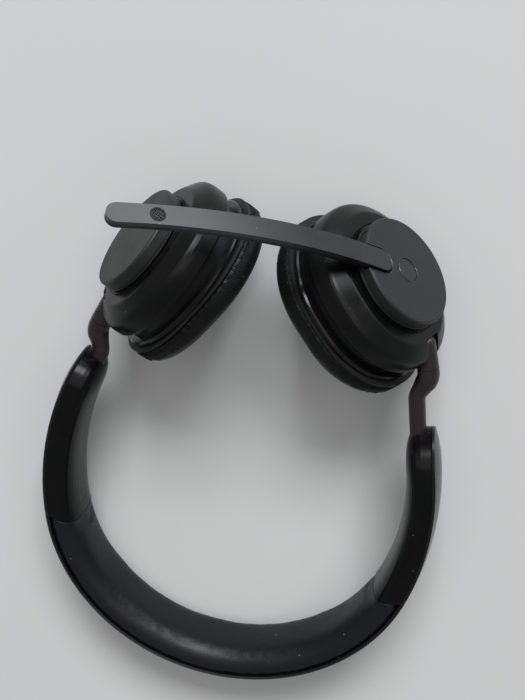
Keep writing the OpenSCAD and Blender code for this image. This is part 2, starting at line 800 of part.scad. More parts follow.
band_shell();
band_spring();
band_pad();
left_sleeve();
right_sleeve();
left_arm();
right_arm();
left_knuckle();
right_knuckle();
left_dowel();
right_dowel();
left_hinge_pin();
right_hinge_pin();
left_shell();
right_shell();
left_base_ring();
right_base_ring();
left_disc();
hub_disc();
left_gloss_ring();
right_gloss_ring();
left_baffle();
right_baffle();
left_driver();
right_driver();
left_cone();
right_cone();
left_scrim();
right_scrim();
left_cushion_plate();
right_cushion_plate();
left_cushion();
right_cushion();
left_screws();
right_screws();
battery();
charge_port();
power_slider();
main_board();
hub_clip();
boom_face();
boom_back();
mic_grille();
mic_capsule();
call_button();
volume_up();
volume_down();
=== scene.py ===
import json
import math
import time

import bmesh
import bpy
import numpy as np
from mathutils import Matrix, Vector
from mathutils.bvhtree import BVHTree


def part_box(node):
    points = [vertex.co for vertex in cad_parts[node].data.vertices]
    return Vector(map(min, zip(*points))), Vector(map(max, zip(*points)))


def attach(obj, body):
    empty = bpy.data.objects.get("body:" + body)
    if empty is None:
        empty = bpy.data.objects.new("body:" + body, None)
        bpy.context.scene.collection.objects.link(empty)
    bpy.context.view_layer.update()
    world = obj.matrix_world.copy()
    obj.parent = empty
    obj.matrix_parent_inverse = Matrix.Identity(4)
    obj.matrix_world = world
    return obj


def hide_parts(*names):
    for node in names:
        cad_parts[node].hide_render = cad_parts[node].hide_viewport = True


startedAt = time.time()
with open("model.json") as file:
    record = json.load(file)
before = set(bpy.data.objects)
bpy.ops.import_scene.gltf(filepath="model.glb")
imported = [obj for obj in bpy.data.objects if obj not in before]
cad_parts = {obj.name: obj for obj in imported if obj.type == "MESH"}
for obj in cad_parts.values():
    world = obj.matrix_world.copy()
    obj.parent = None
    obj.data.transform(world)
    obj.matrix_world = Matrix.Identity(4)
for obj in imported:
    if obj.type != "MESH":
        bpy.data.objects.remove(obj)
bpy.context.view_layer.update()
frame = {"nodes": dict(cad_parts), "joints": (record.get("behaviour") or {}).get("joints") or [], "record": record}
scene = bpy.context.scene
joints = {j["name"]: j for j in frame["joints"]}
mounts = {m["name"]: m for m in frame["record"]["mounts"]}
sides = ("left", "right")
mm = 0.001


def say(text):
    print(f"[{time.time() - startedAt:5.1f} s] {text}")


def matrixOf(x, y, z, origin):
    m = Matrix((x, y, z)).transposed().to_4x4()
    m.translation = Vector(origin)
    return m


def cupPlace(origin, outward, across):
    z = Vector(outward).normalized()
    y = Vector(across).normalized()
    x = y.cross(z).normalized()
    return matrixOf(x, z.cross(x), z, origin)


# origin on the outer disc's face, +X to the headband, +Z away from the ear
cupFrame = {
    "right": cupPlace(joints["boom_turn"]["pos_m"], -Vector(joints["boom_turn"]["axis"]),
                      -Vector(joints["right_tilt"]["axis"])),
    "left": cupPlace(mounts["left_disc_face"]["pos_m"], mounts["left_disc_face"]["axis"],
                     -Vector(joints["left_tilt"]["axis"])),
}

bandSize = {
    "hingeX": 60.8 * mm,      # hinge from the middle, arm pushed in
    "hingeY": 75.25 * mm,     # hinge above the crown's centre
    "railLean": 15.0,         # degrees that each arm leans in
    "crownR": 71.2 * mm,
    "padHalf": 75.04,         # degrees each side of the crown
    "seamSlant": 27.0,        # the seam leans towards the limb on its outer side
    "width": 28.2 * mm,
    "split": 3.3 * mm,        # where the padding meets the shell
    "depth": 6.9 * mm,        # how far the padding stands in
}


# the headband's own plane, from the two arms that slide in it
def bandPlace():
    lean = math.radians(bandSize["railLean"])
    left, right = (Vector(joints[side + "_arm_slide"]["axis"]) for side in sides)
    y = (right + left).normalized()
    x = (left - right).normalized()
    z = x.cross(y).normalized()
    hinge = Vector(joints["left_swivel"]["pos_m"])
    draw = -joints["left_arm_slide"]["range_m"][0]
    hingeX = -(bandSize["hingeX"] - draw * math.sin(lean))
    hingeY = bandSize["hingeY"] + draw * math.cos(lean)
    return matrixOf(x, y, z, hinge - x * hingeX - y * hingeY)


bandFrame = bandPlace()


# angle from the crown at which the pad ends, some way out from the centre line
def padEnd(out, back=0.0):
    slant = math.radians(bandSize["seamSlant"])
    return math.radians(bandSize["padHalf"]) + np.arctan2(out * math.tan(slant) - back / math.cos(slant),
                                                          bandSize["crownR"] + out)


def wire(tree, a, b):
    tree.links.new(a, b)


# link a socket to another, or write a plain value in it
def feed(tree, value, socket):
    if hasattr(value, "links"):
        wire(tree, value, socket)
    else:
        socket.default_value = value


def addNode(tree, kind, x=0, y=0, **values):
    n = tree.nodes.new(kind)
    n.location = (x, y)
    for k, v in values.items():
        setattr(n, k, v)
    return n


def newGroup(name, ins, outs, kind="ShaderNodeTree"):
    g = bpy.data.node_groups.new(name, kind)
    for label, socketKind, default in ins:
        s = g.interface.new_socket(name=label, in_out="INPUT", socket_type=socketKind)
        if default is not None:
            s.default_value = default
    for label, socketKind in outs:
        g.interface.new_socket(name=label, in_out="OUTPUT", socket_type=socketKind)
    return g, addNode(g, "NodeGroupInput", -900), addNode(g, "NodeGroupOutput", 900)


def noiseNode(g, vector, scale, detail=3.0, rough=0.55, x=0, y=0):
    n = addNode(g, "ShaderNodeTexNoise", x, y)
    n.inputs["Detail"].default_value = detail
    n.inputs["Roughness"].default_value = rough
    wire(g, vector, n.inputs["Vector"])
    feed(g, scale, n.inputs["Scale"])
    return n


def mathNode(g, op, a, b=None, x=0, y=0, clamp=False):
    n = addNode(g, "ShaderNodeMath", x, y, operation=op, use_clamp=clamp)
    feed(g, a, n.inputs[0])
    if b is not None:
        feed(g, b, n.inputs[1])
    return n.outputs[0]


# grey ramp from stops of (place, level)
def rampNode(g, value, stops, x=0, y=0):
    n = addNode(g, "ShaderNodeValToRGB", x, y)
    for e, (place, level) in zip(n.color_ramp.elements, stops):
        e.position = place
        e.color = (level, level, level, 1)
    wire(g, value, n.inputs[0])
    return n.outputs[0]


leatherGrainSet = {
    "scale": 1500.0,
    "crease": 0.5,
    "pebble": [(0.15, 1.0), (0.75, 0.0)],
    "warpScale": 900.0,
    "warpBy": 0.35 * mm,
    "foldScale": 240.0,
    "fold": [(0.35, 0.0), (0.62, 1.0)],
}


def makeLeatherGrain():
    s = leatherGrainSet
    g, i, o = newGroup("leatherGrain",
                       [("Vector", "NodeSocketVector", None), ("Scale", "NodeSocketFloat", s["scale"]),
                        ("Crease", "NodeSocketFloat", s["crease"])],
                       [("Height", "NodeSocketFloat"), ("Shade", "NodeSocketFloat")])
    warp = noiseNode(g, i.outputs["Vector"], s["warpScale"], 2.0, 0.5, -700, -200)
    mix = addNode(g, "ShaderNodeVectorMath", -500, -100, operation="MULTIPLY_ADD")
    mix.inputs[1].default_value = (s["warpBy"],) * 3
    wire(g, warp.outputs["Color"], mix.inputs[0])
    wire(g, i.outputs["Vector"], mix.inputs[2])
    cell = addNode(g, "ShaderNodeTexVoronoi", -300, 100, feature="SMOOTH_F1")
    wire(g, mix.outputs[0], cell.inputs["Vector"])
    wire(g, i.outputs["Scale"], cell.inputs["Scale"])
    pebble = rampNode(g, cell.outputs["Distance"], s["pebble"], -100, 100)
    fold = noiseNode(g, i.outputs["Vector"], s["foldScale"], 4.0, 0.6, -300, -300)
    foldLine = rampNode(g, fold.outputs["Fac"], s["fold"], -100, -300)
    part = mathNode(g, "MULTIPLY", foldLine, i.outputs["Crease"], 150, -300)
    wire(g, mathNode(g, "ADD", pebble, part, 350, 0), o.inputs["Height"])
    wire(g, mathNode(g, "MULTIPLY_ADD", pebble, 0.5, 350, -200), o.inputs["Shade"])
    return g


mouldGrainSet = {"scale": 3000.0, "cloudScale": 60.0}


def makeMouldGrain():
    g, i, o = newGroup("mouldGrain",
                       [("Vector", "NodeSocketVector", None),
                        ("Scale", "NodeSocketFloat", mouldGrainSet["scale"])],
                       [("Height", "NodeSocketFloat"), ("Cloud", "NodeSocketFloat")])
    fine = noiseNode(g, i.outputs["Vector"], i.outputs["Scale"], 2.0, 0.6, -400, 100)
    cloud = noiseNode(g, i.outputs["Vector"], mouldGrainSet["cloudScale"], 3.0, 0.5, -400, -200)
    wire(g, fine.outputs["Fac"], o.inputs["Height"])
    wire(g, cloud.outputs["Fac"], o.inputs["Cloud"])
    return g


handlingSet = {
    "size": 90.0,
    "amount": 0.5,
    "patch": [(0.42, 0.0), (0.7, 1.0)],
    "hairScale": 260.0,
    "hairStretch": (1.0, 14.0, 5.0),
    "hairTurn": (0.4, 0.9, 0.3),
    "hair": [(0.68, 0.0), (0.74, 1.0)],
}


# greasy patches from hands, and hairline scratches
def makeHandling():
    s = handlingSet
    g, i, o = newGroup("handlingMarks",
                       [("Vector", "NodeSocketVector", None), ("Size", "NodeSocketFloat", s["size"]),
                        ("Amount", "NodeSocketFloat", s["amount"])],
                       [("Mask", "NodeSocketFloat"), ("Scratch", "NodeSocketFloat")])
    smear = noiseNode(g, i.outputs["Vector"], i.outputs["Size"], 5.0, 0.65, -600, 100)
    patch = rampNode(g, smear.outputs["Fac"], s["patch"], -400, 100)
    wire(g, mathNode(g, "MULTIPLY", patch, i.outputs["Amount"], 0, 100, True), o.inputs["Mask"])
    stretch = addNode(g, "ShaderNodeMapping", -700, -200)
    stretch.inputs["Scale"].default_value = s["hairStretch"]
    stretch.inputs["Rotation"].default_value = s["hairTurn"]
    wire(g, i.outputs["Vector"], stretch.inputs["Vector"])
    hair = noiseNode(g, stretch.outputs[0], s["hairScale"], 2.0, 0.5, -500, -200)
    line = rampNode(g, hair.outputs["Fac"], s["hair"], -300, -200)
    wire(g, mathNode(g, "MULTIPLY", line, i.outputs["Amount"], 0, -200, True), o.inputs["Scratch"])
    return g


dustSet = {"scale": 260.0, "density": 0.5, "speck": [(0.035, 1.0), (0.06, 0.0)], "share": 0.16}


def makeDust():
    s = dustSet
    g, i, o = newGroup("settledDust",
                       [("Vector", "NodeSocketVector", None), ("Density", "NodeSocketFloat", s["density"])],
                       [("Mask", "NodeSocketFloat")])
    speck = addNode(g, "ShaderNodeTexVoronoi", -600, 0)
    speck.inputs["Scale"].default_value = s["scale"]
    wire(g, i.outputs["Vector"], speck.inputs["Vector"])
    near = rampNode(g, speck.outputs["Distance"], s["speck"], -400, 0)
    split = addNode(g, "ShaderNodeSeparateColor", -400, -250)
    wire(g, speck.outputs["Color"], split.inputs[0])
    few = mathNode(g, "LESS_THAN", split.outputs[0], s["share"], -200, -250)
    some = mathNode(g, "MULTIPLY", near, few, 0, 0)
    wire(g, mathNode(g, "MULTIPLY", some, i.outputs["Density"], 200, 0, True), o.inputs["Mask"])
    return g


weaveSet = {"pitch": 2600.0, "gap": [(0.2, 0.0), (0.7, 1.0)]}


def makeWeave():
    g, i, o = newGroup("fineWeave",
                       [("Vector", "NodeSocketVector", None),
                        ("Pitch", "NodeSocketFloat", weaveSet["pitch"])],
                       [("Height", "NodeSocketFloat"), ("Gap", "NodeSocketFloat")])
    size = addNode(g, "ShaderNodeVectorMath", -700, 0, operation="SCALE")
    wire(g, i.outputs["Vector"], size.inputs[0])
    wire(g, i.outputs["Pitch"], size.inputs["Scale"])
    split = addNode(g, "ShaderNodeSeparateXYZ", -500, 0)
    wire(g, size.outputs[0], split.inputs[0])
    across = mathNode(g, "SINE", split.outputs[0], None, -300, 100)
    down = mathNode(g, "SINE", split.outputs[1], None, -300, -100)
    both = mathNode(g, "MULTIPLY", across, down, -100, 0)
    wire(g, both, o.inputs["Height"])
    wire(g, rampNode(g, both, weaveSet["gap"], 100, -100), o.inputs["Gap"])
    return g


leatherGrain = makeLeatherGrain()
mouldGrain = makeMouldGrain()
handlingMarks = makeHandling()
settledDust = makeDust()
fineWeave = makeWeave()
say("shared effects built")


def startFinish(name):
    m = bpy.data.materials.new(name)
    m.use_nodes = True
    t = m.node_tree
    where = addNode(t, "ShaderNodeTexCoord", -1400, 0)
    return m, t, t.nodes["Principled BSDF"], where.outputs["Object"]


def placeGroup(t, group, vector, x, y, **values):
    n = addNode(t, "ShaderNodeGroup", x, y, node_tree=group)
    wire(t, vector, n.inputs["Vector"])
    for k, v in values.items():
        n.inputs[k].default_value = v
    return n


# a Mix node's colours are its inputs 6 and 7, and its output 2
def colourMix(t, fac, a, b, x=0, y=0):
    n = addNode(t, "ShaderNodeMix", x, y, data_type="RGBA")
    feed(t, fac, n.inputs["Factor"])
    for colour, socket in ((a, n.inputs[6]), (b, n.inputs[7])):
        feed(t, (*colour, 1) if isinstance(colour, tuple) else colour, socket)
    return n.outputs[2]


def bumpFrom(t, height, strength, distance, x=0, y=0, base=None):
    n = addNode(t, "ShaderNodeBump", x, y)
    n.inputs["Strength"].default_value = strength
    n.inputs["Distance"].default_value = distance
    wire(t, height, n.inputs["Height"])
    if base is not None:
        wire(t, base, n.inputs["Normal"])
    return n.outputs[0]


def spread(t, value, low, high, x=0, y=0):
    n = addNode(t, "ShaderNodeMapRange", x, y)
    n.inputs["To Min"].default_value = low
    n.inputs["To Max"].default_value = high
    wire(t, value, n.inputs["Value"])
    return n.outputs[0]


def tone(colour, by, lift=0.0):
    return tuple(c * by + lift for c in colour)


mouldedSet = {
    "cloud": (0.82, 1.25, 0.003),    # darker and lighter share of the colour, and the light side's lift
    "greasy": (1.5, 0.004),
    "marksSize": 90.0,
    "dustColour": (0.5, 0.49, 0.46),
    "scratchDepth": -0.6,
    "relief": 0.06 * mm,
}


# a moulded or painted finish: colour with faint clouding, handling marks, dust and fine texture
def mouldedFinish(name, colour, rough, grain, depth, marks, dust, coat=0.0, coatRough=0.1, metal=0.0,
                  shine=0.5, roughSpread=0.08):
    s = mouldedSet
    m, t, b, where = startFinish(name)
    grainNode = placeGroup(t, mouldGrain, where, -1000, 200, Scale=grain)
    markNode = placeGroup(t, handlingMarks, where, -1000, -100, Size=s["marksSize"], Amount=marks)
    dustNode = placeGroup(t, settledDust, where, -1000, -400, Density=dust)
    darker, lighter, lift = s["cloud"]
    base = colourMix(t, grainNode.outputs["Cloud"], tone(colour, darker), tone(colour, lighter, lift),
                     -600, 300)
    greasy = colourMix(t, markNode.outputs["Mask"], base, tone(colour, *s["greasy"]), -400, 300)
    dusty = colourMix(t, dustNode.outputs["Mask"], greasy, s["dustColour"], -200, 300)
    wire(t, dusty, b.inputs["Base Color"])
    marked = mathNode(t, "ADD", grainNode.outputs["Cloud"], markNode.outputs["Mask"], -600, 0)
    wire(t, spread(t, marked, rough - roughSpread, rough + roughSpread, -300, 0), b.inputs["Roughness"])
    scratch = mathNode(t, "MULTIPLY", markNode.outputs["Scratch"], s["scratchDepth"], -700, -250)
    tall = mathNode(t, "ADD", grainNode.outputs["Height"], scratch, -500, -250)
    wire(t, bumpFrom(t, tall, depth, s["relief"], -200, -250), b.inputs["Normal"])
    b.inputs["Coat Weight"].default_value = coat
    b.inputs["Coat Roughness"].default_value = coatRough
    b.inputs["Metallic"].default_value = metal
    b.inputs["Specular IOR Level"].default_value = shine
    return m


hideSet = {
    "grain": 1500.0,
    "crease": 0.55,
    "marksSize": 70.0,
    "marks": 0.5,
    "dust": 0.8,
    "valley": 0.6,                   # share of the colour between the pebbles, a painted shade in the grain's hollows, and where hands rub
    "worn": 1.6,
    "dustColour": (0.45, 0.44, 0.42),
    "roughSpread": (0.05, -0.1),
    "grainBump": (0.35, 0.09 * mm),
    "ribJitter": (160.0, 9.0),       # scale and reach of the ribs' unevenness
    "ribBump": (0.55, 0.22 * mm),
    "sheenRough": 0.4,
}


# leatherette with a fine grain, and small ribs where it is pulled in at a seam
def hideFinish(name, colour, rough, shine, sheen, ribbed=False):
    s = hideSet
    m, t, b, where = startFinish(name)
    grainNode = placeGroup(t, leatherGrain, where, -1000, 200, Scale=s["grain"], Crease=s["crease"])
    markNode = placeGroup(t, handlingMarks, where, -1000, -100, Size=s["marksSize"], Amount=s["marks"])
    dustNode = placeGroup(t, settledDust, where, -1000, -400, Density=s["dust"])
    # painted shade: the colour darkens between the pebbles, where the grain is lowest
    base = colourMix(t, grainNode.outputs["Shade"], tone(colour, s["valley"]), colour, -600, 300)
    worn = colourMix(t, markNode.outputs["Mask"], base, tone(colour, s["worn"]), -400, 300)
    dusty = colourMix(t, dustNode.outputs["Mask"], worn, s["dustColour"], -200, 300)
    wire(t, dusty, b.inputs["Base Color"])
    low, high = (rough + r for r in s["roughSpread"])
    wire(t, spread(t, markNode.outputs["Mask"], low, high, -300, 0), b.inputs["Roughness"])
    normal = bumpFrom(t, grainNode.outputs["Height"], *s["grainBump"], -300, -250)
    if ribbed:
        around = addNode(t, "ShaderNodeAttribute", -1400, -700, attribute_name="around")
        pulled = addNode(t, "ShaderNodeAttribute", -1400, -900, attribute_name="pulled")
        jitterScale, jitterReach = s["ribJitter"]
        jitter = noiseNode(t, where, jitterScale, 3.0, 0.6, -1200, -600)
        uneven = mathNode(t, "MULTIPLY", jitter.outputs["Fac"], jitterReach, -1000, -650)
        along = mathNode(t, "ADD", around.outputs["Fac"], uneven, -800, -700)
        ribs = mathNode(t, "SINE", along, None, -600, -700)
        atSeam = mathNode(t, "MULTIPLY", ribs, pulled.outputs["Fac"], -400, -700)
        normal = bumpFrom(t, atSeam, *s["ribBump"], -100, -450, normal)
    wire(t, normal, b.inputs["Normal"])
    b.inputs["Sheen Weight"].default_value = sheen
    b.inputs["Sheen Roughness"].default_value = s["sheenRough"]
    b.inputs["Specular IOR Level"].default_value = shine
    return m


metalSet = {
    "lay": (1.0, 18.0, 18.0),
    "lineScale": 420.0,
    "marks": (120.0, 0.5),
    "dull": 0.6,
    "roughSpread": (-0.06, 0.14),
    "relief": (0.2, 0.04 * mm),
}


# bare drawn or turned metal with fine lines along it
def metalFinish(name, colour, rough):
    s = metalSet
    m, t, b, where = startFinish(name)
    lay = addNode(t, "ShaderNodeMapping", -1200, 0)
    lay.inputs["Scale"].default_value = s["lay"]
    wire(t, where, lay.inputs["Vector"])
    lines = noiseNode(t, lay.outputs[0], s["lineScale"], 3.0, 0.6, -900, 0)
    markSize, markAmount = s["marks"]
    markNode = placeGroup(t, handlingMarks, where, -900, -300, Size=markSize, Amount=markAmount)
    wire(t, colourMix(t, markNode.outputs["Mask"], colour, tone(colour, s["dull"]), -400, 200),
         b.inputs["Base Color"])
    low, high = (rough + r for r in s["roughSpread"])
    wire(t, spread(t, lines.outputs["Fac"], low, high, -400, 0), b.inputs["Roughness"])
    wire(t, bumpFrom(t, lines.outputs["Fac"], *s["relief"], -300, -200), b.inputs["Normal"])
    b.inputs["Metallic"].default_value = 1.0
    return m


clothSet = {"pitch": 5200.0, "gap": 0.35, "rough": (0.7, 0.9), "relief": (0.5, 0.1 * mm), "sheen": 0.2}


def wovenFinish(name, colour):
    s = clothSet
    m, t, b, where = startFinish(name)
    weave = placeGroup(t, fineWeave, where, -900, 0, Pitch=s["pitch"])
    wire(t, colourMix(t, weave.outputs["Gap"], colour, tone(colour, s["gap"]), -400, 200),
         b.inputs["Base Color"])
    wire(t, spread(t, weave.outputs["Height"], *s["rough"], -400, 0), b.inputs["Roughness"])
    wire(t, bumpFrom(t, weave.outputs["Height"], *s["relief"], -300, -200), b.inputs["Normal"])
    b.inputs["Sheen Weight"].default_value = s["sheen"]
    return m


mouldedFinishes = {
    "shellGloss": dict(colour=(0.0022, 0.0022, 0.0025), rough=0.26, grain=5000.0, depth=0.05, marks=0.3,
                       dust=0.4, coat=0.1, coatRough=0.12, shine=0.2, roughSpread=0.05),
    "cupSatin": dict(colour=(0.001, 0.001, 0.0011), rough=0.3, grain=4200.0, depth=0.12, marks=0.4,
                     dust=0.4, shine=0.19),
    "sleeveSatin": dict(colour=(0.001, 0.001, 0.0012), rough=0.22, grain=3800.0, depth=0.1, marks=0.4,
                        dust=0.3, shine=0.13, roughSpread=0.05),
    "discMatt": dict(colour=(0.0038, 0.0039, 0.004), rough=0.48, grain=2600.0, depth=0.6, marks=0.4,
                     dust=0.4, shine=0.44),
    "ringGloss": dict(colour=(0.0022, 0.0022, 0.0025), rough=0.2, grain=5000.0, depth=0.03, marks=0.2,
                      dust=0.3, coat=0.06, coatRough=0.08, shine=0.2, roughSpread=0.04),
    # painted shadow: near-black, dull finish for the bead that darkens the gap round the boom's root
    "sealRubber": dict(colour=(0.0012, 0.0012, 0.0013), rough=0.6, grain=3000.0, depth=0.3, marks=0.2,
                       dust=0.1, shine=0.1),
    "armPaint": dict(colour=(0.016, 0.0116, 0.0128), rough=0.32, grain=3200.0, depth=0.2, marks=0.5,
                     dust=0.2, metal=0.3, shine=0.5, roughSpread=0.07),
    "boomSatin": dict(colour=(0.007, 0.0074, 0.0082), rough=0.3, grain=3400.0, depth=0.25, marks=0.4,
                      dust=0.3, shine=0.5, roughSpread=0.05),
    "boomUnder": dict(colour=(0.0022, 0.0023, 0.0026), rough=0.4, grain=3400.0, depth=0.25, marks=0.4,
                      dust=0.3, shine=0.22),
    "lipPolish": dict(colour=(0.012, 0.012, 0.0125), rough=0.22, grain=5000.0, depth=0.03, marks=0.2,
                      dust=0.0, shine=0.7),
    "innerMould": dict(colour=(0.008, 0.008, 0.0085), rough=0.55, grain=2600.0, depth=0.4, marks=0.2,
                       dust=0.2, shine=0.25),
    "keyMatt": dict(colour=(0.013, 0.013, 0.0135), rough=0.5, grain=3000.0, depth=0.4, marks=0.6,
                    dust=0.2, shine=0.35),
    "coneFilm": dict(colour=(0.62, 0.58, 0.5), rough=0.35, grain=2600.0, depth=0.2, marks=0.2, dust=0.1),
    "foilPouch": dict(colour=(0.5, 0.5, 0.52), rough=0.35, grain=1200.0, depth=0.6, marks=0.5,
                      dust=0.1, metal=0.6),
    "boardLacquer": dict(colour=(0.012, 0.09, 0.045), rough=0.3, grain=2600.0, depth=0.3, marks=0.2,
                         dust=0.1, coat=0.4),
    "micMetal": dict(colour=(0.006, 0.006, 0.0065), rough=0.5, grain=3400.0, depth=0.2, marks=0.3,
                     dust=0.0, shine=0.2),
}
finishes = {name: mouldedFinish(name, **look) for name, look in mouldedFinishes.items()}
finishes["bareSteel"] = metalFinish("bareSteel", (0.6, 0.6, 0.62), rough=0.28)
finishes["platedSteel"] = metalFinish("platedSteel", (0.32, 0.32, 0.34), rough=0.4)
finishes["cushionHide"] = hideFinish("cushionHide", (0.0034, 0.0035, 0.0038), rough=0.4, shine=0.19,
                                     sheen=0.02, ribbed=True)
# the pad's own colour is near-black; its blue lean is a painted cast of the bluish window reflection on its top
finishes["padHide"] = hideFinish("padHide", (0.0032, 0.004, 0.005), rough=0.42, shine=0.28, sheen=0.01)
finishes["meshCloth"] = wovenFinish("meshCloth", (0.02, 0.02, 0.021))

finishOf = {
    "band_shell": "shellGloss", "band_spring": "bareSteel", "band_pad": "padHide",
    "sleeve": "sleeveSatin", "arm": "armPaint", "knuckle": "armPaint", "dowel": "bareSteel",
    "hinge_pin": "bareSteel", "shell": "cupSatin", "base_ring": "cupSatin", "disc": "discMatt",
    "hub_disc": "discMatt", "gloss_ring": "ringGloss", "baffle": "innerMould",
    "driver": "platedSteel", "cone": "coneFilm", "scrim": "meshCloth",
    "cushion_plate": "innerMould", "cushion": "cushionHide", "screws": "bareSteel",
    "battery": "foilPouch", "charge_port": "bareSteel", "power_slider": "keyMatt",
    "main_board": "boardLacquer", "hub_clip": "bareSteel", "boom_face": "boomSatin",
    "boom_back": "boomUnder", "mic_grille": "micMetal", "mic_capsule": "platedSteel",
    "call_button": "keyMatt", "volume_up": "keyMatt", "volume_down": "keyMatt",
}

for nodeName, nodeObj in frame["nodes"].items():
    plainName = nodeName.replace("left_", "").replace("right_", "")
    nodeObj.data.materials.clear()
    nodeObj.data.materials.append(finishes[finishOf[plainName]])
say("finishes on every node")


def linkMesh(name, mesh):
    obj = bpy.data.objects.new(name, mesh)
    scene.collection.objects.link(obj)
    return obj


def pointsOf(mesh):
    return np.array([v.co for v in mesh.vertices], float)


def movePoints(mesh, points):
    mesh.vertices.foreach_set("co", points.astype(np.float32).ravel())


def smoothAll(mesh):
    mesh.polygons.foreach_set("use_smooth", [True] * len(mesh.polygons))
    mesh.update()


def setFloats(mesh, name, values):
    a = mesh.attributes.new(name, "FLOAT", "POINT")
    a.data.foreach_set("value", np.asarray(values, np.float32))


def evaluatedMesh(obj):
    dg = bpy.context.evaluated_depsgraph_get()
    return bpy.data.meshes.new_from_object(obj.evaluated_get(dg))


# rings of points joined into a tube, which closes on itself or has its ends capped
def loftRings(name, rings, closed):
    bm = bmesh.new()
    rows = [[bm.verts.new(p) for p in ring] for ring in rings]
    n, k = len(rows), len(rows[0])
    for i in range(n if closed else n - 1):
        a, b = rows[i], rows[(i + 1) % n]
        for j in range(k):
            bm.faces.new((a[j], a[(j + 1) % k], b[(j + 1) % k], b[j]))
    if not closed:
        bm.faces.new(rows[0][::-1])
        bm.faces.new(rows[-1])
    bmesh.ops.recalc_face_normals(bm, faces=bm.faces)
    mesh = bpy.data.meshes.new(name)
    bm.to_mesh(mesh)
    bm.free()
    return mesh


swellSet = {
    "up": 10.0,               # the work is done ten times up so that cloth behaves
    "frames": 20,
    "cloth": {"quality": 6, "mass": 0.3, "tension_stiffness": 12, "compression_stiffness": 12,
              "shear_stiffness": 6, "bending_stiffness": 0.4, "use_pressure": True},
}


# swell a closed foam form like stretched leatherette; hold gives how firmly each point is kept
def swell(mesh, name, size, hold):
    up = swellSet["up"]
    mesh.transform(Matrix.Scale(up, 4))
    raw = linkMesh(name + "Raw", mesh)
    remesh = raw.modifiers.new("even", "REMESH")
    remesh.mode = "VOXEL"
    remesh.voxel_size = size["voxel"] * up
    evened = evaluatedMesh(raw)
    bpy.data.objects.remove(raw)
    body = linkMesh(name + "Cloth", evened)
    rest = pointsOf(evened)
    held = body.vertex_groups.new(name="held")
    for i, w in enumerate(hold(rest / up)):
        if w > 0:
            held.add([i], float(min(1, w)), "REPLACE")
    cloth = body.modifiers.new("cloth", "CLOTH")
    for key, value in swellSet["cloth"].items():
        setattr(cloth.settings, key, value)
    cloth.settings.uniform_pressure_force = size["pressure"]
    cloth.settings.vertex_group_mass = "held"
    cloth.settings.effector_weights.gravity = 0
    cloth.collision_settings.use_collision = False
    for f in range(1, swellSet["frames"] + 1):
        scene.frame_set(f)
    moved = evaluatedMesh(body)
    scene.frame_set(1)
    step = pointsOf(moved) - rest
    far = np.linalg.norm(step, axis=1)
    limit = size["cap"] * up
    share = np.where(far > limit, limit / np.maximum(far, 1e-9), 1.0)
    movePoints(moved, (rest + step * share[:, None]) / up)
    bpy.data.objects.remove(body)
    moved.update()
    return moved


def finishPadded(name, mesh, place, finish, body, node):
    mesh.transform(place)
    smoothAll(mesh)
    obj = linkMesh(name, mesh)
    obj.data.materials.append(finishes[finish])
    sub = obj.modifiers.new("round", "SUBSURF")
    sub.levels = sub.render_levels = 1
    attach(obj, body)
    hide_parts(node)
    return obj


cushionSize = {
    "offset": 4.4 * mm,       # half of the straight side of the oval
    "ear": 14.2 * mm,         # opening
    "middle": 23 * mm,        # middle of the ring, along which the steps are even
    "outer": 31.25 * mm,
    "base": -26.45 * mm,      # seat on the plate, below the disc's face
    "face": -36.65 * mm,      # where it meets the head
    "pressBack": 0.25,        # what is left of a point's way past the face
    "steps": 128,
    "voxel": 1.5 * mm,
    "pressure": 3.5,
    "cap": 0.9 * mm,          # how far a point may swell
    "heldNear": 1.2 * mm,     # how near to the seat the cover is kept
    "ribs": 1.98,             # turn of the rib wave, in radians, for each mm round the oval
    "ribRadius": 28.0,
    "wall": (27.5 * mm, 2.5 * mm),      # where the outer wall starts, and over what width
    "drawn": (0.3, 4.5),      # mm below the seat over which the cover is drawn in
    "foldPush": 0.1 * mm,
    "fill": 0.8,
}


# radius and height round the cushion's section, in order, from the opening at the seat
def cushionSection():
    c = cushionSize
    e, r, b, f = (c[k] / mm for k in ("ear", "outer", "base", "face"))
    points = [(e + 1.2, b), (e + 5, b), (r - 6, b), (r - 1.8, b), (r - 0.6, b - 0.9), (r - 0.1, b - 2.4),
              (r - 0.1, b - 4.2), (r - 0.7, b - 6.0), (r - 1.9, b - 7.8), (r - 3.8, f + 1.1),
              (r - 6.2, f + 0.3), (r - 8.7, f + 0.05), (r - 11.2, f + 0.35), (e + 3.8, f + 1.3),
              (e + 2.0, f + 2.8), (e + 0.8, f + 4.8), (e + 0.4, f + 6.8), (e + 0.6, f + 8.6)]
    return [(x * mm, z * mm) for x, z in points]


# a point of the oval with end radius r; t goes from 0 to 1, even along the middle of the ring
def ovalPoint(r, t):
    o, mid = cushionSize["offset"], cushionSize["middle"]
    arc, flat = math.pi * mid, 2 * o
    s = t * 2 * (arc + flat)
    if s < arc:
        a = -math.pi / 2 + s / mid
        return o + r * math.cos(a), r * math.sin(a)
    s -= arc
    if s < flat:
        return o - s, r
    s -= flat
    if s < arc:
        a = math.pi / 2 + s / mid
        return -o + r * math.cos(a), r * math.sin(a)
    s -= arc
    return -o + s, -r


def holdSeat(points):
    return np.clip(1 - np.abs(points[:, 2] - cushionSize["base"]) / cushionSize["heldNear"], 0, 1)


